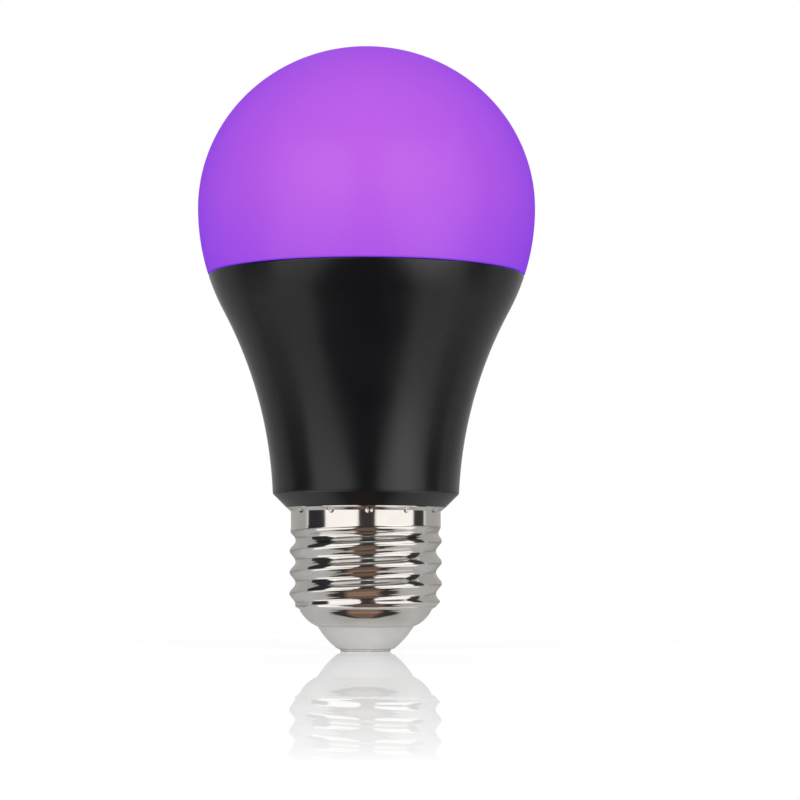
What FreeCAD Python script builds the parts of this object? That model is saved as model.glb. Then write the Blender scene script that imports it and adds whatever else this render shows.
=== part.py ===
"""LED black light lamp on a medium screw cap, standing on its centre contact. Sizes in millimetres, +Z up."""
import math
import os

import FreeCAD, Part
from FreeCAD import Vector

# Clearance between pieces that slide together
FIT = 0.05

# Centre contact: a button with a stem
CONTACT_DIAMETER = 8.8
CONTACT_THICKNESS = 0.45
CONTACT_BEVEL = 0.25
STEM_DIAMETER = 2.4
STEM_LENGTH = 5.0

# Insulator: the cone that shows below the cap
INSULATOR_FOOT_DIAMETER = 9.6
INSULATOR_DROP = 3.8
INSULATOR_RADIUS = 13.0

# Screw cap: sheet metal with an E27 round thread, 7 turns to the inch
SHEET = 0.3
LIP_DIAMETER = 16.4
BOWL_HEIGHT = 2.95
BOWL_RADIUS = 5.6
SHOULDER_STEP = 0.75
SHOULDER_HEIGHT = 0.4
THREAD_MAJOR = 26.2
THREAD_DEPTH = 1.0
THREAD_PITCH = 25.4 / 7
THREAD_LENGTH = 13.8
THREAD_START = 0.47
RUN_IN = 1.3
RUN_OUT = 2.0
LEVELS_PER_TURN = 8
BAND_INSET = 0.2
BAND_LENGTH = 2.45
RIM_FLARE = 0.75
RIM_RISE = 0.6
RIM_EDGE = 0.1

# Staking: punch marks that lock the cap on the housing's neck
PUNCH_COUNT = 12
PUNCH_TURN = 2.5
PUNCH_RADIUS = 0.6
PUNCH_DEPTH = 0.18

# Housing: a flare between the cap and the dome
FOOT_CHAMFER = 2.35
NECK_TAPER = 2.4
BODY_LENGTH = 37.65
MOUTH_WALL = 1.9
MOUTH_DEPTH = 4.0
SEAM_BEVEL = 0.2

# Dome: a belt below the widest circle and a crown above it
DOME_DIAMETER = 58.2
BELT_HEIGHT = 11.62
BELT_RADIUS = 37.5
CROWN_HEIGHT = 27.9
SKIRT_DEPTH = 3.5

# Heights above the face of the centre contact
lip = CONTACT_THICKNESS + INSULATOR_DROP
bowl_top = lip + BOWL_HEIGHT
thread_foot = bowl_top + SHOULDER_HEIGHT
thread_top = thread_foot + THREAD_LENGTH
rim_foot = thread_top + BAND_LENGTH
rim_top = rim_foot + RIM_RISE + RIM_EDGE
chamfer_top = rim_top + FOOT_CHAMFER
seam = chamfer_top + BODY_LENGTH
equator = seam + BELT_HEIGHT
crown = equator + CROWN_HEIGHT

# Radii that more than one piece uses
stem_radius = STEM_DIAMETER / 2
lip_radius = LIP_DIAMETER / 2
major_radius = THREAD_MAJOR / 2
minor_radius = major_radius - THREAD_DEPTH
bore_radius = minor_radius - SHEET
bowl_radius = minor_radius - SHOULDER_STEP
band_radius = major_radius - BAND_INSET
band_bore_radius = band_radius - SHEET
rim_radius = band_radius + RIM_FLARE
foot_radius = rim_radius + FOOT_CHAMFER
dome_radius = DOME_DIAMETER / 2


def at(radius, height):
    return Vector(radius, 0, height)


def path(*corners):
    """Straight edges through the corners."""
    return [Part.makeLine(start, end) for start, end in zip(corners, corners[1:])]


def arc(start, end, centre):
    """The shorter arc about the centre."""
    radius = (start - centre).Length
    middle = centre + ((start - centre) + (end - centre)).normalize() * radius
    return Part.Arc(start, middle, end).toShape()


def arc_centre(inner, outer, radius):
    """Centre of an arc that rises outwards between two points and bulges away from the axis."""
    chord = outer - inner
    inwards = Vector(-chord.z, 0, chord.x).normalize()
    return (inner + outer) * 0.5 + inwards * math.sqrt(radius ** 2 - (chord.Length / 2) ** 2)


def turned(edges):
    """Solid of revolution of a closed profile about the lamp's axis."""
    return Part.Face(Part.Wire(edges)).revolve(Vector(), Vector(0, 0, 1), 360)


# Outline that the dome and the housing share: a belt arc, then a neck arc that meets it smoothly
belt_centre = at(dome_radius - BELT_RADIUS, equator)
foot = at(foot_radius, chamfer_top)
taper = math.radians(NECK_TAPER)
outwards = at(math.cos(taper), -math.sin(taper))
reach = belt_centre - foot
neck_radius = (reach.Length ** 2 - BELT_RADIUS ** 2) / (2 * (BELT_RADIUS + reach.dot(outwards)))
neck_centre = foot + outwards * neck_radius
turnover = belt_centre + (neck_centre - belt_centre).normalize() * BELT_RADIUS


def belt_at(height):
    """Point of the belt arc at a height."""
    return at(belt_centre.x + math.sqrt(BELT_RADIUS ** 2 - (equator - height) ** 2), height)


seam_radius = belt_at(seam).x
face_radius = seam_radius - SEAM_BEVEL
mouth_radius = seam_radius - MOUTH_WALL

# Bowl of the cap: outside and inside arcs about one centre
bowl_centre = arc_centre(at(lip_radius, lip), at(bowl_radius, bowl_top), BOWL_RADIUS)
inside_radius = BOWL_RADIUS - SHEET
inside_lip = at(lip_radius, bowl_centre.z - math.sqrt(inside_radius ** 2 - (lip_radius - bowl_centre.x) ** 2))
inside_top = at(bowl_centre.x + math.sqrt(inside_radius ** 2 - (bowl_top - bowl_centre.z) ** 2), bowl_top)


def diffuser():
    """Frosted dome with a skirt that drops into the housing's mouth."""
    top = at(0, crown)
    widest = at(dome_radius, equator)
    edge = belt_at(seam + SEAM_BEVEL)
    quarter_ellipse = Part.BezierCurve()
    quarter_ellipse.setPoles([top, at(dome_radius, crown), widest])
    quarter_ellipse.setWeight(2, math.sqrt(0.5))
    skirt_radius = mouth_radius - FIT
    skirt_foot = seam - SKIRT_DEPTH
    skirt = path(edge, at(face_radius, seam), at(skirt_radius, seam), at(skirt_radius, skirt_foot),
                 at(0, skirt_foot), top)
    return turned([quarter_ellipse.toShape(), arc(widest, edge, belt_centre)] + skirt)


def housing():
    """Flared body with a mouth for the dome, and a stub that the cap is staked to."""
    edge = belt_at(seam - SEAM_BEVEL)
    mouth_floor = seam - MOUTH_DEPTH
    collar_radius = band_bore_radius - FIT
    collar_foot = thread_top + FIT
    stub_radius = bore_radius - FIT
    stub_foot = thread_foot + FIT
    mouth = path(at(0, mouth_floor), at(mouth_radius, mouth_floor), at(mouth_radius, seam),
                 at(face_radius, seam), edge)
    flare = [arc(edge, turnover, belt_centre), arc(turnover, foot, neck_centre)]
    stub = path(foot, at(rim_radius, rim_top), at(collar_radius, rim_top), at(collar_radius, collar_foot),
                at(stub_radius, collar_foot), at(stub_radius, stub_foot), at(0, stub_foot), at(0, mouth_floor))
    return turned(mouth + flare + stub)


def smooth_step(share):
    share = min(max(share, 0), 1)
    return share ** 2 * (3 - 2 * share)


def thread():
    """Round thread: a level slice is a circle set off its axis, and the offset turns with the height."""
    mean_radius = (major_radius + minor_radius) / 2
    count = math.ceil(THREAD_LENGTH / THREAD_PITCH * LEVELS_PER_TURN)
    slices = []
    for level in range(count + 1):
        height = THREAD_LENGTH * level / count
        rise = smooth_step(height / RUN_IN)
        fall = smooth_step((THREAD_LENGTH - height) / RUN_OUT)
        radius = minor_radius + (mean_radius - minor_radius) * rise
        radius = band_radius + (radius - band_radius) * fall
        offset = THREAD_DEPTH / 2 * rise * fall
        turn = 2 * math.pi * (height - THREAD_START) / THREAD_PITCH
        centre = Vector(offset * math.cos(turn), offset * math.sin(turn), thread_foot + height)
        slices.append(Part.Wire(Part.makeCircle(radius, centre)))
    return Part.makeLoft(slices, True, True)


def screw_shell():
    """Rolled cap: bowl, thread, plain band and a flared rim, staked round the band."""
    outer_lip = at(lip_radius, lip)
    outer_bowl = at(bowl_radius, bowl_top)
    bowl = turned([arc(outer_lip, outer_bowl, bowl_centre)] + path(
        outer_bowl, at(minor_radius, thread_foot), at(0, thread_foot), at(0, lip), outer_lip))
    band = turned(path(
        at(0, thread_top), at(band_radius, thread_top), at(band_radius, rim_foot),
        at(rim_radius, rim_top - RIM_EDGE), at(rim_radius, rim_top), at(0, rim_top), at(0, thread_top)))
    bore = turned([arc(inside_lip, inside_top, bowl_centre)] + path(
        inside_top, at(bore_radius, thread_foot), at(bore_radius, thread_top - THREAD_DEPTH),
        at(band_bore_radius, thread_top), at(band_bore_radius, rim_top), at(0, rim_top), at(0, lip),
        outer_lip, inside_lip))

    punch = Part.makeSphere(PUNCH_RADIUS, at(band_radius + PUNCH_RADIUS - PUNCH_DEPTH, rim_foot))
    punches = []
    for mark in range(PUNCH_COUNT):
        angle = PUNCH_TURN + 360 * mark / PUNCH_COUNT
        punches.append(punch.rotated(Vector(), Vector(0, 0, 1), angle))
    return thread().fuse([bowl, band]).cut([bore] + punches)


def insulator():
    """Cone moulded into the cap's bowl, bored for the contact's stem."""
    cone_foot = at(INSULATOR_FOOT_DIAMETER / 2, CONTACT_THICKNESS)
    cone_top = at(lip_radius, lip)
    hole_radius = stem_radius + FIT
    hole_end = CONTACT_THICKNESS + STEM_LENGTH + FIT
    cone = arc(cone_foot, cone_top, arc_centre(cone_foot, cone_top, INSULATOR_RADIUS))
    bowl = arc(inside_lip, inside_top, bowl_centre)
    hole = path(
        inside_top, at(0, bowl_top), at(0, hole_end), at(hole_radius, hole_end), at(hole_radius, CONTACT_THICKNESS),
        cone_foot)
    return turned([cone] + path(cone_top, inside_lip) + [bowl] + hole)


def centre_contact():
    """Button with a bevelled edge, on a stem."""
    button_radius = CONTACT_DIAMETER / 2
    stem_top = CONTACT_THICKNESS + STEM_LENGTH
    return turned(path(
        at(0, 0), at(button_radius - CONTACT_BEVEL, 0), at(button_radius, CONTACT_BEVEL),
        at(button_radius, CONTACT_THICKNESS), at(stem_radius, CONTACT_THICKNESS), at(stem_radius, stem_top),
        at(0, stem_top), at(0, 0)))


os.makedirs("parts", exist_ok=True)
for piece in (diffuser, housing, screw_shell, insulator, centre_contact):
    piece().exportStep(f"parts/{piece.__name__}.step")
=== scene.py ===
"""Black light lamp on a pale floor, dressed over its CAD frame. Metres, +Z up, seen from -Y."""
import math

import bmesh
import bpy
from mathutils import Matrix, Vector


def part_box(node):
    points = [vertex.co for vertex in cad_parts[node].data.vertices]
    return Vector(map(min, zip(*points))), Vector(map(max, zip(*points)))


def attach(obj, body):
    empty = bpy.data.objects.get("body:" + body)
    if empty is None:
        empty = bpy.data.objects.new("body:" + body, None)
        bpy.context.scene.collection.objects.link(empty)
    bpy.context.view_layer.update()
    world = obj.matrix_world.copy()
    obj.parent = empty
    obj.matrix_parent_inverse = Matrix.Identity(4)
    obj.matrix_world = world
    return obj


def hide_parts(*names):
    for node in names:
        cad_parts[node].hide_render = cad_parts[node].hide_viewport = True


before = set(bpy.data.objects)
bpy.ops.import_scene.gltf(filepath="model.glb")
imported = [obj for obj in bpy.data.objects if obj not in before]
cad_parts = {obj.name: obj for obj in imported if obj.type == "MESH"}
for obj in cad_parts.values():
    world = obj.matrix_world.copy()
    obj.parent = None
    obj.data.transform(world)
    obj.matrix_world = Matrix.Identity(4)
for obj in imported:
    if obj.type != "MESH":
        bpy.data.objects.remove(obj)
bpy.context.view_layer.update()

MM = 0.001


def inner_radius(low, high):
    """Radius of a round piece that stays inside its box on every side."""
    return min(-low[0], -low[1], high[0], high[1])


# Sizes that the frame gives
dome_low, dome_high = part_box("diffuser")
housing_low, housing_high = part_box("housing")
shell_low, shell_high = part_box("screw_shell")
insulator_low, insulator_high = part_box("insulator")
contact_low, contact_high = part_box("centre_contact")
dome_radius = inner_radius(dome_low, dome_high)
crown = dome_high[2]
skirt_foot = dome_low[2]
seam = housing_high[2]
stub_foot = housing_low[2]
rim_radius = inner_radius(shell_low, shell_high)
rim_top = shell_high[2]
lip = shell_low[2]
bowl_top = insulator_high[2]
insulator_foot = insulator_low[2]
contact_radius = inner_radius(contact_low, contact_high)

# Dome and housing
BELT_HEIGHT = 11.62 * MM
BELT_RADIUS = 37.5 * MM
NECK_TAPER = math.radians(2.4)
FOOT_CHAMFER = 2.35 * MM
FOOT_ROUND = 0.6 * MM
SEAM_BEVEL = 0.2 * MM
MOUTH_WALL = 1.9 * MM
MOUTH_DEPTH = 4.0 * MM
FIT = 0.05 * MM

# Screw cap
SHEET = 0.3 * MM
RIM_FLARE = 0.75 * MM
RIM_RISE = 0.6 * MM
RIM_EDGE = 0.1 * MM
BAND_INSET = 0.2 * MM
BAND_LENGTH = 2.45 * MM
THREAD_DEPTH = 1.0 * MM
THREAD_PITCH = 25.4 / 7 * MM
THREAD_LENGTH = 13.8 * MM
THREAD_START = 0.47 * MM
RUN_IN = 1.3 * MM
RUN_OUT = 2.0 * MM
SHOULDER_STEP = 0.75 * MM
LIP_RADIUS = 8.2 * MM
BOWL_RADIUS = 5.6 * MM
PUNCH_COUNT = 12
PUNCH_TURN = math.radians(2.5)
PUNCH_RADIUS = 0.72 * MM
PUNCH_DEPTH = 0.3 * MM
PUNCH_LIFT = 0.1 * MM

# Insulator and contact
INSULATOR_FOOT_RADIUS = 4.8 * MM
INSULATOR_RADIUS = 13.0 * MM
CONTACT_BEVEL = 0.25 * MM
CONTACT_THICKNESS = insulator_foot

# Small roundings at the edges of the turned pieces
DOME_EDGE = 0.1 * MM
HOUSING_EDGE = 0.35 * MM
INSULATOR_EDGE = 0.3 * MM
CONTACT_EDGE = 0.12 * MM
ROUNDED_FROM = math.radians(25)
ROUNDING_STEPS = 3

# Heights and radii worked out from the sizes
equator = seam + BELT_HEIGHT
chamfer_top = rim_top + FOOT_CHAMFER
rim_foot = rim_top - RIM_EDGE - RIM_RISE
thread_top = rim_foot - BAND_LENGTH
thread_foot = thread_top - THREAD_LENGTH
band_radius = rim_radius - RIM_FLARE
major_radius = band_radius + BAND_INSET
minor_radius = major_radius - THREAD_DEPTH
bowl_radius = minor_radius - SHOULDER_STEP
foot_radius = rim_radius + FOOT_CHAMFER

# Mesh fineness: steps round the lamp, then along each stretch of an outline
TURN_STEPS = 192
CROWN_STEPS = 72
DOME_BELT_STEPS = 24
HOUSING_BELT_STEPS = 16
NECK_STEPS = 40
FOOT_STEPS = 6
CONE_STEPS = 16
CAP_STEPS = 432
BOWL_STEPS = 24
SHOULDER_STEPS = 3
THREAD_STEPS = 132
BAND_STEPS = 18
FLARE_STEPS = 9
CARD_STEPS = 24

# Angles from which an edge is shaded sharp, and the radius that counts as on the axis
SHARP_FROM = math.radians(30)
CAP_SHARP_FROM = math.radians(50)
NEVER_SHARP = math.pi
ON_AXIS = 1e-7


def at(radius, height):
    """Point of an outline: distance from the axis, and height."""
    return Vector((radius, height))


def around(radius, angle, height):
    """Point in space at a distance from the axis, an angle about it and a height."""
    return Vector((radius * math.cos(angle), radius * math.sin(angle), height))


def between(start, end, steps):
    """Points from one to the other, without the first."""
    return [start.lerp(end, step / steps) for step in range(1, steps + 1)]


def arc(start, end, centre, steps):
    """Points along the shorter arc about the centre, without its first point."""
    first = start - centre
    last = end - centre
    begin = math.atan2(first.y, first.x)
    sweep = math.atan2(first.x * last.y - first.y * last.x, first.dot(last))
    points = []
    for step in range(1, steps + 1):
        angle = begin + sweep * step / steps
        points.append(centre + at(math.cos(angle), math.sin(angle)) * first.length)
    return points


def arc_centre(inner, outer, radius):
    """Centre of an arc that rises outwards between two points and bulges away from the axis."""
    chord = outer - inner
    inwards = at(-chord.y, chord.x).normalized()
    return (inner + outer) / 2 + inwards * math.sqrt(radius ** 2 - (chord.length / 2) ** 2)


def plain(point, angle):
    """Radius of a round ring, the same at every angle."""
    return point.x


def add_ring(build, steps, point, shape):
    """Ring of corners at an outline's point; the shape gives its radius at each angle."""
    ring = []
    for step in range(steps):
        angle = 2 * math.pi * step / steps
        ring.append(build.verts.new(around(shape(point, angle), angle, point.y)))
    return ring


def bridge(build, rings):
    """Faces from each ring to the next, which are triangles where a ring is one point on the axis."""
    for ring, after in zip(rings, rings[1:]):
        for step in range(len(ring)):
            following = (step + 1) % len(ring)
            corners = dict.fromkeys((ring[step], ring[following], after[following], after[step]))
            build.faces.new(corners)


def finish_mesh(name, build, sharp_from):
    """Object from a bmesh, smooth-shaded up to an angle."""
    bmesh.ops.recalc_face_normals(build, faces=build.faces)
    mesh = bpy.data.meshes.new(name)
    build.to_mesh(mesh)
    build.free()
    mesh.shade_smooth()
    mesh.set_sharp_from_angle(angle=sharp_from)
    piece = bpy.data.objects.new(name, mesh)
    bpy.context.collection.objects.link(piece)
    return piece


def turned(name, outline, edge):
    """Solid with rounded edges, turned about the lamp's axis from an outline that starts and ends on it."""
    build = bmesh.new()
    rings = []
    for point in outline:
        if point.x < ON_AXIS:
            rings.append([build.verts.new((0, 0, point.y))] * TURN_STEPS)
        else:
            rings.append(add_ring(build, TURN_STEPS, point, plain))
    bridge(build, rings)
    piece = finish_mesh(name, build, SHARP_FROM)
    rounding = piece.modifiers.new("rounded_edges", "BEVEL")
    rounding.width = edge
    rounding.segments = ROUNDING_STEPS
    rounding.limit_method = "ANGLE"
    rounding.angle_limit = ROUNDED_FROM
    rounding.harden_normals = True
    return piece


def dress(piece, node, material):
    """Puts a finished piece in the place of its CAD node."""
    piece.data.materials.append(material)
    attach(piece, "root")
    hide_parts(node)


# Outline that the dome and the housing share
belt_centre = at(dome_radius - BELT_RADIUS, equator)
foot = at(foot_radius, chamfer_top)
outwards = at(math.cos(NECK_TAPER), -math.sin(NECK_TAPER))
reach = belt_centre - foot
neck_radius = (reach.length ** 2 - BELT_RADIUS ** 2) / (2 * (BELT_RADIUS + reach.dot(outwards)))
neck_centre = foot + outwards * neck_radius
turnover = belt_centre + (neck_centre - belt_centre).normalized() * BELT_RADIUS


def belt_at(height):
    """Point of the belt arc at a height."""
    return at(belt_centre.x + math.sqrt(BELT_RADIUS ** 2 - (equator - height) ** 2), height)


seam_radius = belt_at(seam).x
face_radius = seam_radius - SEAM_BEVEL
mouth_radius = seam_radius - MOUTH_WALL


def make_diffuser():
    """Half-ellipse crown on the belt arc, with a skirt that drops into the housing's mouth."""
    outline = []
    for step in range(CROWN_STEPS + 1):
        angle = math.pi / 2 * step / CROWN_STEPS
        height = equator + (crown - equator) * math.cos(angle)
        outline.append(at(dome_radius * math.sin(angle), height))
    outline += arc(outline[-1], belt_at(seam + SEAM_BEVEL), belt_centre, DOME_BELT_STEPS)
    skirt_radius = mouth_radius - FIT
    outline += [at(face_radius, seam), at(skirt_radius, seam),
                at(skirt_radius, skirt_foot), at(0, skirt_foot)]
    return turned("frosted_dome", outline, DOME_EDGE)


def make_housing():
    """Mouth, belt and flared neck, down over the chamfered foot to the stub inside the cap."""
    edge = belt_at(seam - SEAM_BEVEL)
    mouth_floor = seam - MOUTH_DEPTH
    collar_radius = band_radius - SHEET - FIT
    stub_radius = minor_radius - SHEET - FIT
    chamfer_foot = at(rim_radius, rim_top)
    down = at(outwards.y, -outwards.x)
    slope = (chamfer_foot - foot).normalized()
    ease = FOOT_ROUND * math.tan(down.angle(slope) / 2)
    round_top = foot - down * ease
    outline = [at(0, mouth_floor), at(mouth_radius, mouth_floor), at(mouth_radius, seam),
               at(face_radius, seam), edge]
    outline += arc(edge, turnover, belt_centre, HOUSING_BELT_STEPS)
    outline += arc(turnover, round_top, neck_centre, NECK_STEPS)
    outline += arc(outline[-1], foot + slope * ease, round_top - outwards * FOOT_ROUND, FOOT_STEPS)
    outline += [chamfer_foot, at(collar_radius, rim_top), at(collar_radius, thread_top),
                at(stub_radius, thread_top), at(stub_radius, stub_foot), at(0, stub_foot)]
    return turned("flared_housing", outline, HOUSING_EDGE)


def make_insulator():
    """Bulging cone from the contact up to the cap's lip, with a plug inside the bowl."""
    cone_foot = at(INSULATOR_FOOT_RADIUS, insulator_foot)
    cone_top = at(LIP_RADIUS, lip)
    cone_centre = arc_centre(cone_foot, cone_top, INSULATOR_RADIUS)
    outline = [at(0, insulator_foot), cone_foot]
    outline += arc(cone_foot, cone_top, cone_centre, CONE_STEPS)
    outline += [at(LIP_RADIUS, lip + SHEET), at(bowl_radius - SHEET, bowl_top), at(0, bowl_top)]
    return turned("cap_insulator", outline, INSULATOR_EDGE)


def make_contact():
    """Bevelled button under the insulator."""
    outline = [at(0, 0), at(contact_radius - CONTACT_BEVEL, 0), at(contact_radius, CONTACT_BEVEL),
               at(contact_radius, CONTACT_THICKNESS), at(0, CONTACT_THICKNESS)]
    return turned("contact_button", outline, CONTACT_EDGE)


def smooth_step(share):
    """Share from 0 to 1 that starts and stops gently."""
    share = min(max(share, 0), 1)
    return share ** 2 * (3 - 2 * share)


def threaded(point, angle):
    """Round thread: a level slice is a circle set off its axis, and the offset turns with the height."""
    climb = point.y - thread_foot
    rise = smooth_step(climb / RUN_IN)
    fall = smooth_step((THREAD_LENGTH - climb) / RUN_OUT)
    slice_radius = minor_radius + THREAD_DEPTH / 2 * rise
    slice_radius = band_radius + (slice_radius - band_radius) * fall
    offset = THREAD_DEPTH / 2 * rise * fall
    turn = angle - 2 * math.pi * (climb - THREAD_START) / THREAD_PITCH
    return offset * math.cos(turn) + math.sqrt(slice_radius ** 2 - (offset * math.sin(turn)) ** 2)


def punched(point, angle):
    """Band and flare with the round staking marks pressed in."""
    pitch = 2 * math.pi / PUNCH_COUNT
    across = point.x * ((angle - PUNCH_TURN + pitch / 2) % pitch - pitch / 2)
    away = math.hypot(across, point.y - rim_foot - PUNCH_LIFT) / PUNCH_RADIUS
    return point.x - PUNCH_DEPTH * max(0, 1 - away ** 2) ** 2


def make_shell():
    """Rolled cap as a closed loop of rings: bowl, thread, band, flared rim, then back down the bore."""
    outer_lip = at(LIP_RADIUS, lip)
    outer_bowl = at(bowl_radius, bowl_top)
    bowl_centre = arc_centre(outer_lip, outer_bowl, BOWL_RADIUS)
    shoulder = at(minor_radius, thread_foot)
    thread_end = at(band_radius, thread_top)
    band_end = at(band_radius, rim_foot)
    rim_corner = at(rim_radius, rim_top - RIM_EDGE)
    bowl = [outer_lip]
    bowl += arc(outer_lip, outer_bowl, bowl_centre, BOWL_STEPS)
    bowl += between(outer_bowl, shoulder, SHOULDER_STEPS)
    thread = between(shoulder, thread_end, THREAD_STEPS)
    band = between(thread_end, band_end, BAND_STEPS) + between(band_end, rim_corner, FLARE_STEPS)
    bore = [at(rim_radius, rim_top), at(band_radius - SHEET, rim_top), at(band_radius - SHEET, thread_top),
            at(minor_radius - SHEET, thread_top - THREAD_DEPTH), at(minor_radius - SHEET, thread_foot),
            at(bowl_radius - SHEET, bowl_top), at(LIP_RADIUS, lip + SHEET)]
    build = bmesh.new()
    rings = []
    for points, shape in ((bowl, plain), (thread, threaded), (band, punched), (bore, plain)):
        rings += [add_ring(build, CAP_STEPS, point, shape) for point in points]
    bridge(build, rings + rings[:1])
    return finish_mesh("screw_cap", build, CAP_SHARP_FROM)


# Depths of the fine relief
GRAIN_DEPTH = 0.02 * MM
LINE_DEPTH = 0.01 * MM


def new_material(name):
    """Material with its shader, a function that adds a node, and one that sets or links an input."""
    material = bpy.data.materials.new(name)
    material.use_nodes = True
    tree = material.node_tree
    shader = tree.nodes["Principled BSDF"]

    def add(kind, **inputs):
        node = tree.nodes.new(kind)
        for key, value in inputs.items():
            connect(node, key.replace("_", " "), value)
        return node

    def connect(node, key, value):
        if isinstance(value, bpy.types.NodeSocket):
            tree.links.new(value, node.inputs[key])
        else:
            node.inputs[key].default_value = value

    return material, shader, add, connect


def place_of(add):
    """Coordinates fixed to the object, in metres."""
    return add("ShaderNodeTexCoord").outputs["Object"]


def noise(add, vector, scale, detail=3):
    """Cloudy value about a half; the scale is in clouds to the metre."""
    return add("ShaderNodeTexNoise", Vector=vector, Scale=scale, Detail=detail).outputs["Fac"]


def remap(add, value, **limits):
    """Value carried from one range to another; a limit that isn't named is 0 or 1."""
    return add("ShaderNodeMapRange", Value=value, **limits).outputs["Result"]


def ramp(add, value, low, high, start=0.3, stop=0.7):
    """Colour or grey that goes from low to high as a value goes from start to stop."""
    node = add("ShaderNodeValToRGB", Fac=value)
    node.color_ramp.elements[0].position = start
    node.color_ramp.elements[0].color = low
    node.color_ramp.elements[1].position = stop
    node.color_ramp.elements[1].color = high
    return node.outputs["Color"]


def grey(level):
    return (level, level, level, 1)


def bump(add, height, strength, distance):
    """Normal that follows a fine relief."""
    return add("ShaderNodeBump", Height=height, Strength=strength, Distance=distance).outputs["Normal"]


def dome_material():
    """Frosted plastic, violet and lit from within, with painted shade that darkens its base colour towards
    its rim, and with little grazing gloss.
    """
    material, shader, add, connect = new_material("frosted_violet_plastic")
    seam_shaded_violet = (0.51, 0.118, 0.16, 1)
    violet = (0.575, 0.134, 0.16, 1)
    faint_glow = (0.038, 0.004, 0.98, 1)
    full_glow = (0.042, 0.005, 1, 1)
    place = place_of(add)
    clouds = noise(add, place, scale=60)
    frost = noise(add, place, scale=2600)
    height = add("ShaderNodeSeparateXYZ", Vector=place).outputs["Z"]
    # Painted shade: the base colour darkens from the equator down to the seam, standing in for the light from
    # within falling off there.
    seam_shade_mask = remap(add, height, From_Min=seam, From_Max=equator)
    connect(shader, "Base Color", ramp(add, seam_shade_mask, seam_shaded_violet, violet, start=0, stop=1))
    connect(shader, "Roughness", ramp(add, frost, grey(0.32), grey(0.4)))
    connect(shader, "Normal", bump(add, frost, strength=0.15, distance=GRAIN_DEPTH))
    connect(shader, "Emission Color", ramp(add, clouds, faint_glow, full_glow))
    shader.inputs["Emission Strength"].default_value = 0.7
    shader.inputs["Specular IOR Level"].default_value = 0
    grazing = add("ShaderNodeLayerWeight", Blend=0.5).outputs["Facing"]
    connect(shader, "Coat Weight", ramp(add, grazing, grey(0.34), grey(0.02), start=0, stop=0.8))
    shader.inputs["Coat Roughness"].default_value = 0.2
    return material


def housing_material():
    """Satin black moulded plastic with a fine grain."""
    material, shader, add, connect = new_material("satin_black_plastic")
    deep_black = (0.0036, 0.0036, 0.0054, 1)
    soft_black = (0.0054, 0.0054, 0.0074, 1)
    place = place_of(add)
    grain = noise(add, place, scale=4200)
    patches = noise(add, place, scale=90)
    connect(shader, "Base Color", ramp(add, patches, deep_black, soft_black))
    connect(shader, "Roughness", ramp(add, patches, grey(0.23), grey(0.28)))
    connect(shader, "Normal", bump(add, grain, strength=0.12, distance=GRAIN_DEPTH))
    return material


def cap_material():
    """Bright nickel plate with drawing lines round the cap."""
    material, shader, add, connect = new_material("nickel_plate")
    dull_nickel = (0.66, 0.635, 0.61, 1)
    bright_nickel = (0.73, 0.71, 0.685, 1)
    place = place_of(add)
    stretched = add("ShaderNodeMapping", Vector=place, Scale=(0.04, 0.04, 1)).outputs["Vector"]
    lines = noise(add, stretched, scale=5200, detail=4)
    film = noise(add, place, scale=220)
    connect(shader, "Base Color", ramp(add, film, dull_nickel, bright_nickel))
    connect(shader, "Roughness", ramp(add, film, grey(0.08), grey(0.12)))
    connect(shader, "Normal", bump(add, lines, strength=0.1, distance=LINE_DEPTH))
    shader.inputs["Metallic"].default_value = 1
    return material


def insulator_material():
    """Pale grey moulded plastic, faintly mottled."""
    material, shader, add, connect = new_material("pale_insulating_plastic")
    shaded = (0.89, 0.875, 0.865, 1)
    pale = (0.93, 0.915, 0.905, 1)
    place = place_of(add)
    mottle = noise(add, place, scale=420)
    grain = noise(add, place, scale=2400)
    connect(shader, "Base Color", ramp(add, mottle, shaded, pale))
    connect(shader, "Roughness", ramp(add, mottle, grey(0.38), grey(0.48)))
    connect(shader, "Normal", bump(add, grain, strength=0.1, distance=GRAIN_DEPTH))
    return material


def contact_material():
    """Plated button, lightly scuffed."""
    material, shader, add, connect = new_material("contact_plate")
    scuffed = (0.8, 0.78, 0.76, 1)
    bright = (0.92, 0.9, 0.88, 1)
    place = place_of(add)
    scuffs = noise(add, place, scale=900, detail=6)
    connect(shader, "Base Color", ramp(add, scuffs, scuffed, bright))
    connect(shader, "Roughness", ramp(add, scuffs, grey(0.24), grey(0.42)))
    connect(shader, "Normal", bump(add, scuffs, strength=0.1, distance=GRAIN_DEPTH))
    shader.inputs["Metallic"].default_value = 1
    return material


dress(make_diffuser(), "diffuser", dome_material())
dress(make_housing(), "housing", housing_material())
dress(make_shell(), "screw_shell", cap_material())
dress(make_insulator(), "insulator", insulator_material())
dress(make_contact(), "centre_contact", contact_material())


# Camera: near the floor, aimed up at the middle of the picture
CAMERA_DISTANCE = 0.46
CAMERA_HEIGHT = 0.0108
LENS = 120.6
SENSOR_WIDTH = 36
CLIP_START = 0.01
AIM = Vector((0.00582, 0, 0.0431))
ROLL = math.radians(0.1)


def add_camera():
    data = bpy.data.cameras.new("camera")
    data.lens = LENS
    data.sensor_width = SENSOR_WIDTH
    data.clip_start = CLIP_START
    camera = bpy.data.objects.new("camera", data)
    spot = Vector((0, -CAMERA_DISTANCE, CAMERA_HEIGHT))
    look = (AIM - spot).to_track_quat("-Z", "Y").to_matrix().to_4x4()
    camera.matrix_world = Matrix.Translation(spot) @ look @ Matrix.Rotation(ROLL, 4, "Z")
    bpy.context.collection.objects.link(camera)
    bpy.context.scene.camera = camera


def ray_share(tree, *kinds):
    """One for the kinds of ray named, and zero for the rest."""
    rays = tree.nodes.new("ShaderNodeLightPath")
    total = rays.outputs[kinds[0]]
    for kind in kinds[1:]:
        either = tree.nodes.new("ShaderNodeMath")
        either.operation = "MAXIMUM"
        tree.links.new(total, either.inputs[0])
        tree.links.new(rays.outputs[kind], either.inputs[1])
        total = either.outputs[0]
    return total


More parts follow.
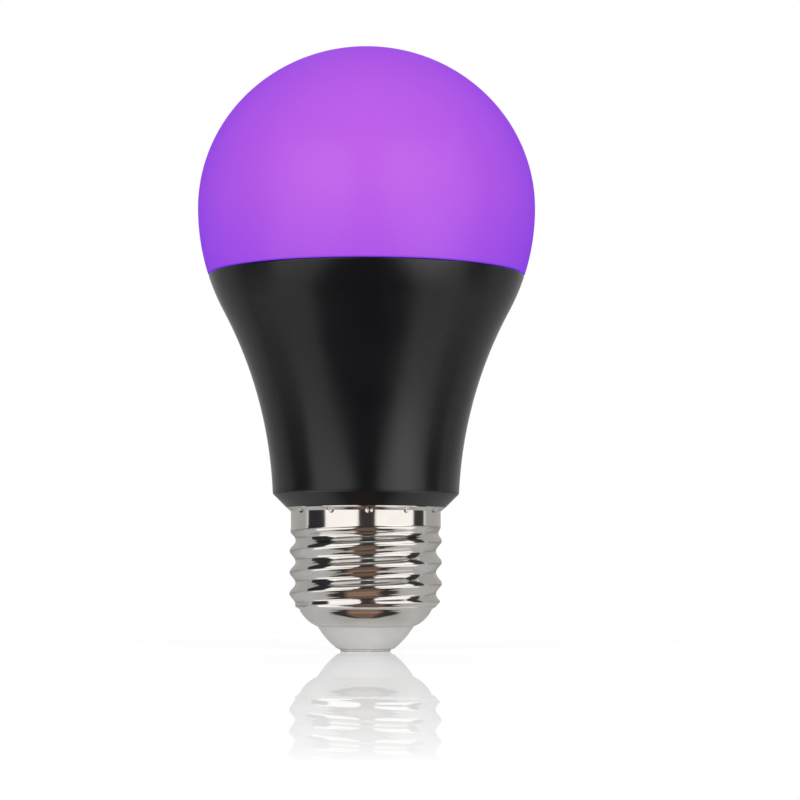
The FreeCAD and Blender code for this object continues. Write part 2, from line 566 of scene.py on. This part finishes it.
# Light
WORLD_LIGHT = 0.12
SOFTBOX_RADIANCE = 2.5
SOFTBOX_HEIGHT = 0.8
SOFTBOX_DISTANCE = 1.0


def add_world():
    """Soft grey light, with a white background for the camera and for reflections."""
    world = bpy.data.worlds.new("studio")
    bpy.context.scene.world = world
    world.use_nodes = True
    tree = world.node_tree
    background = tree.nodes["Background"]
    strength = tree.nodes.new("ShaderNodeMapRange")
    strength.inputs["To Min"].default_value = WORLD_LIGHT
    strength.inputs["To Max"].default_value = 1
    white_for = ray_share(tree, "Is Camera Ray", "Is Glossy Ray", "Is Transmission Ray")
    tree.links.new(white_for, strength.inputs["Value"])
    background.inputs["Color"].default_value = grey(1)
    tree.links.new(strength.outputs["Result"], background.inputs["Strength"])


def studio_point(azimuth, radius, height):
    """Place in the studio; the azimuth runs from the camera to the right, in degrees."""
    return around(radius, math.radians(azimuth - 90), height)


def add_softbox(name, azimuth, width, centre):
    """Upright panel of light that faces the lamp's axis."""
    data = bpy.data.lights.new(name, "AREA")
    data.shape = "RECTANGLE"
    data.size = width
    data.size_y = SOFTBOX_HEIGHT
    data.energy = math.pi * width * SOFTBOX_HEIGHT * SOFTBOX_RADIANCE
    light = bpy.data.objects.new(name, data)
    light.location = studio_point(azimuth, SOFTBOX_DISTANCE, centre)
    aim = Vector((0, 0, centre)) - light.location
    light.rotation_euler = aim.to_track_quat("-Z", "Y").to_euler()
    light.visible_glossy = False
    bpy.context.collection.objects.link(light)


# Floor
FLOOR_REACH = 3
FLOOR_COLOUR = grey(0.9)
FLOOR_ROUGHNESS = 0.9
FLOOR_LIFT = 0.56
MIRRORED_LIFT = 0.07
NEAR = 0.08
FAR = 0.3
GLOSS = 0.6
GLOSS_IOR = 1.02
GLOSS_STARTS = 0.28
GLOSS_FULL = 0.61
GLOSS_CURVE = 0.6


def add_floor():
    """Pale glossy floor that keeps the lamp's shadow, and is plain white further away."""
    build = bmesh.new()
    bmesh.ops.create_grid(build, x_segments=1, y_segments=1, size=FLOOR_REACH)
    floor = finish_mesh("floor", build, SHARP_FROM)
    material, shader, add, connect = new_material("pale_floor")
    tree = material.node_tree

    def work_out(operation, first, second):
        node = add("ShaderNodeMath")
        node.operation = operation
        connect(node, 0, first)
        connect(node, 1, second)
        return node.outputs[0]

    seen = ray_share(tree, "Is Camera Ray")
    mirrored = ray_share(tree, "Is Glossy Ray", "Is Transmission Ray")
    from_lamp = add("ShaderNodeVectorMath", Vector=place_of(add))
    from_lamp.operation = "LENGTH"
    fade = remap(add, from_lamp.outputs["Value"], From_Min=NEAR, From_Max=FAR)
    lift = remap(add, fade, To_Min=FLOOR_LIFT, To_Max=1)
    seen_glow = work_out("MULTIPLY", seen, lift)
    mirrored_glow = work_out("MULTIPLY", mirrored, MIRRORED_LIFT)
    seen_far = work_out("MULTIPLY", seen, fade)
    connect(shader, "Base Color", ramp(add, seen_far, FLOOR_COLOUR, grey(0), start=0, stop=1))
    shader.inputs["Roughness"].default_value = FLOOR_ROUGHNESS
    shader.inputs["Specular IOR Level"].default_value = 0
    shader.inputs["Emission Color"].default_value = grey(1)
    connect(shader, "Emission Strength", work_out("ADD", seen_glow, mirrored_glow))
    fresnel = add("ShaderNodeFresnel", IOR=GLOSS_IOR).outputs["Fac"]
    grazing = remap(add, fresnel, From_Min=GLOSS_STARTS, From_Max=GLOSS_FULL)
    gloss = work_out("MULTIPLY", work_out("POWER", grazing, GLOSS_CURVE), GLOSS)
    mirror = add("ShaderNodeBsdfGlossy", Color=grey(1), Roughness=0)
    mix = add("ShaderNodeMixShader", Fac=work_out("MULTIPLY", seen, gloss))
    connect(mix, 1, shader.outputs["BSDF"])
    connect(mix, 2, mirror.outputs["BSDF"])
    connect(tree.nodes["Material Output"], "Surface", mix.outputs["Shader"])
    floor.data.materials.append(material)


def add_card(name, rows, colour, soft=1):
    """Curved card that only soft reflections see, with ends that fade over some of its steps.

    A row has a radius, a height, two azimuths and an opacity.
    """
    build = bmesh.new()
    cover = build.verts.layers.float.new("cover")
    lines = []
    for radius, height, start, stop, opacity in rows:
        line = []
        for step in range(CARD_STEPS + 1):
            azimuth = start + (stop - start) * step / CARD_STEPS
            corner = build.verts.new(studio_point(azimuth, radius, height))
            corner[cover] = opacity * min(1, step / soft, (CARD_STEPS - step) / soft)
            line.append(corner)
        lines.append(line)
    for line, after in zip(lines, lines[1:]):
        for step in range(CARD_STEPS):
            build.faces.new((line[step], line[step + 1], after[step + 1], after[step]))
    card = finish_mesh(name, build, NEVER_SHARP)
    material, shader, add, connect = new_material(name)
    edge = add("ShaderNodeAttribute")
    edge.attribute_name = "cover"
    shown = add("ShaderNodeMath")
    shown.operation = "SUBTRACT"
    connect(shown, 0, edge.outputs["Fac"])
    connect(shown, 1, ray_share(material.node_tree, "Is Singular Ray"))
    shown.use_clamp = True
    connect(shader, "Alpha", shown.outputs[0])
    shader.inputs["Base Color"].default_value = grey(0)
    shader.inputs["Specular IOR Level"].default_value = 0
    shader.inputs["Emission Color"].default_value = colour
    shader.inputs["Emission Strength"].default_value = 1
    card.data.materials.append(material)
    card.visible_camera = False
    card.visible_diffuse = False
    card.visible_shadow = False


def lying(height, *rows):
    """Rows of a card that lies level: each has a radius, two azimuths and an opacity."""
    return [(radius, height, start, stop, opacity) for radius, start, stop, opacity in rows]


def standing(radius, *rows):
    """Rows of a card that stands upright: each has a height and two azimuths."""
    return [(radius, height, start, stop, 1) for height, start, stop in rows]


add_camera()
add_world()
add_softbox("left_softbox", azimuth=-26, width=0.7, centre=0.55)
add_softbox("right_softbox", azimuth=22, width=0.8, centre=0.55)
add_softbox("rear_softbox", azimuth=180, width=1.0, centre=0.7)

# Surroundings that the gloss mirrors, on the floor, on a round wall about the lamp and on the ceiling
DARK = (0.05, 0.045, 0.042, 1)
BLUE_BLACK = (0.034, 0.033, 0.037, 1)
BROWN = (0.56, 0.35, 0.25, 1)
PANEL = (1.36, 1.33, 1.29, 1)
SPILL = (2.1, 2.05, 2.0, 1)
MAT_GREY = (0.36, 0.355, 0.35, 1)
WALL_GREY = (0.5, 0.485, 0.47, 1)
CEILING_GREY = (0.44, 0.44, 0.43, 1)
GAP_GREY = grey(0.17)

# Radii of the wall and of the ceiling's middle, and heights on the wall
WALL = 1.2
BACK_WALL = WALL * 1.05
CEILING = 0.7
PANEL_TOP = 1.0
TOP = 1.3

# Heights of the cards on the floor, which lie one over the other
LAYER = 0.0002
PANEL_LAYER = 2 * LAYER
SPILL_LAYER = 2.5 * LAYER
MAT_LAYER = 3 * LAYER
PATCH_LAYER = 4 * LAYER

# Azimuths where the fields on the wall begin, each up to the next, from the left round by the front
LEFT_FLAG = -98
LEFT_PANEL = -64
FRONT_FLAG = -11
RIGHT_PANEL = 14
RIGHT_FLAG = 77
BACK = 99
BACK_END = LEFT_FLAG + 360

# Grey mat behind the lamp, light panels and their glow on the floor
add_card("back_mat", lying(LAYER, (0.03, 100, 260, 0), (0.08, 105, 255, 1), (BACK_WALL, BACK, BACK_END, 1)),
         MAT_GREY)
add_card("left_glow", lying(PANEL_LAYER, (0.024, -80, -13, 0), (0.032, -80, -13, 1),
                            (0.062, -78, -13, 1), (0.07, -78, -20, 0)), PANEL, soft=2)
add_card("right_glow", lying(PANEL_LAYER, (0.024, 13, 80, 0), (0.032, 13, 80, 1),
                             (0.062, 14, 80, 1), (0.07, 20, 80, 0)), PANEL, soft=2)
add_card("left_panel", lying(PANEL_LAYER, (0.09, -70, -22, 0), (0.2, -72, -18, 0.8),
                             (WALL, LEFT_PANEL, FRONT_FLAG, 1))
         + standing(WALL, (PANEL_TOP, LEFT_PANEL, FRONT_FLAG)), PANEL)
add_card("right_panel", lying(PANEL_LAYER, (0.09, 22, 76, 0), (0.2, 18, 78, 0.8),
                              (WALL, RIGHT_PANEL, RIGHT_FLAG, 1))
         + standing(WALL, (PANEL_TOP, RIGHT_PANEL, RIGHT_FLAG)), PANEL)
add_card("right_spill", lying(SPILL_LAYER, (0.1, 22, 60, 0), (0.17, 22, 64, 1), (0.98 * WALL, 24, 66, 1)),
         SPILL, soft=8)
add_card("rear_panel", lying(PANEL_LAYER, (0.03, 162, 198, 0), (0.06, 164, 196, 0.8), (WALL, 168, 192, 1))
         + standing(WALL, (PANEL_TOP, 168, 192)), PANEL)

# Dark mat in front of the lamp with a brown patch on it, and dark flags
add_card("front_mat", lying(MAT_LAYER, (0.0108, -13, 12, 1), (0.0123, -33, 31, 1), (0.0136, -47, 45, 1),
                            (0.0148, -54, 51, 1), (0.0156, -54, 51, 1), (0.0166, -34, 33, 1),
                            (0.021, -54, 50, 1), (0.025, -54, 52, 1), (0.03, -20, 20, 1),
                            (0.058, -12, 14, 1), (0.066, -48, 43, 1), (0.09, -47, 42, 1),
                            (0.117, -36, 32, 1), (0.167, -25, 20, 1), (0.24, -17, 15, 1),
                            (WALL, FRONT_FLAG, RIGHT_PANEL, 1)), DARK, soft=2)
add_card("front_patch", lying(PATCH_LAYER, (0.0108, -10, 9, 0.3), (0.0134, -27, 19, 0.3),
                              (0.0146, -27, 24, 0.7), (0.016, -28, 26, 0.36), (0.017, -30, 28, 0.29),
                              (0.022, -24, 24, 0.25), (0.036, -14, 15, 0.24), (0.05, -10, 12, 0)),
         BROWN, soft=4)
add_card("front_flag", standing(WALL, (LAYER, FRONT_FLAG, RIGHT_PANEL), (TOP, FRONT_FLAG, RIGHT_PANEL)), DARK)
add_card("left_flag", lying(MAT_LAYER, (0.09, -120, -82, 0), (0.12, -112, -77, 0.3), (0.167, -108, -66, 0.6),
                            (0.25, -104, -70, 0.85), (WALL, LEFT_FLAG, LEFT_PANEL, 1))
         + standing(WALL, (0.35 * TOP, -104, LEFT_PANEL), (0.6 * TOP, -116, -65), (TOP, -122, -68))
         + lying(TOP, (0.88, -118, -78, 1)), BLUE_BLACK)
add_card("right_flag", lying(MAT_LAYER, (0.09, 80, 120, 0), (0.12, 73, 110, 0.3), (0.167, 71, 105, 0.6),
                             (0.25, 69, 98, 0.85), (WALL, RIGHT_FLAG, BACK, 1))
         + standing(WALL, (0.42 * TOP, 78, 102), (0.75 * TOP, 80, 110), (TOP, 82, 118))
         + lying(TOP, (0.9, 88, 112, 1)), DARK)

# Wall behind the lamp, wall over the panels, and ceiling
add_card("back_wall", standing(BACK_WALL, (LAYER, BACK, BACK_END), (TOP, BACK, BACK_END)), WALL_GREY)
add_card("upper_gap", standing(WALL, (PANEL_TOP, LEFT_PANEL, RIGHT_FLAG), (TOP, LEFT_PANEL, RIGHT_FLAG)),
         GAP_GREY)
add_card("ceiling", lying(TOP, (0.01, 0, 360, 1), (CEILING, 0, 360, 1), (0.85, 0, 360, 0)), CEILING_GREY)
add_card("ceiling_gap", lying(TOP + LAYER, (CEILING, -160, BACK, 1), (WALL, -160, BACK, 1)), GAP_GREY)
add_card("ceiling_back", lying(TOP + LAYER, (CEILING, BACK, 200, 1), (WALL, BACK, 200, 1)), CEILING_GREY)
add_floor()

bpy.context.scene.view_settings.view_transform = "Standard"
bpy.context.view_layer.update()
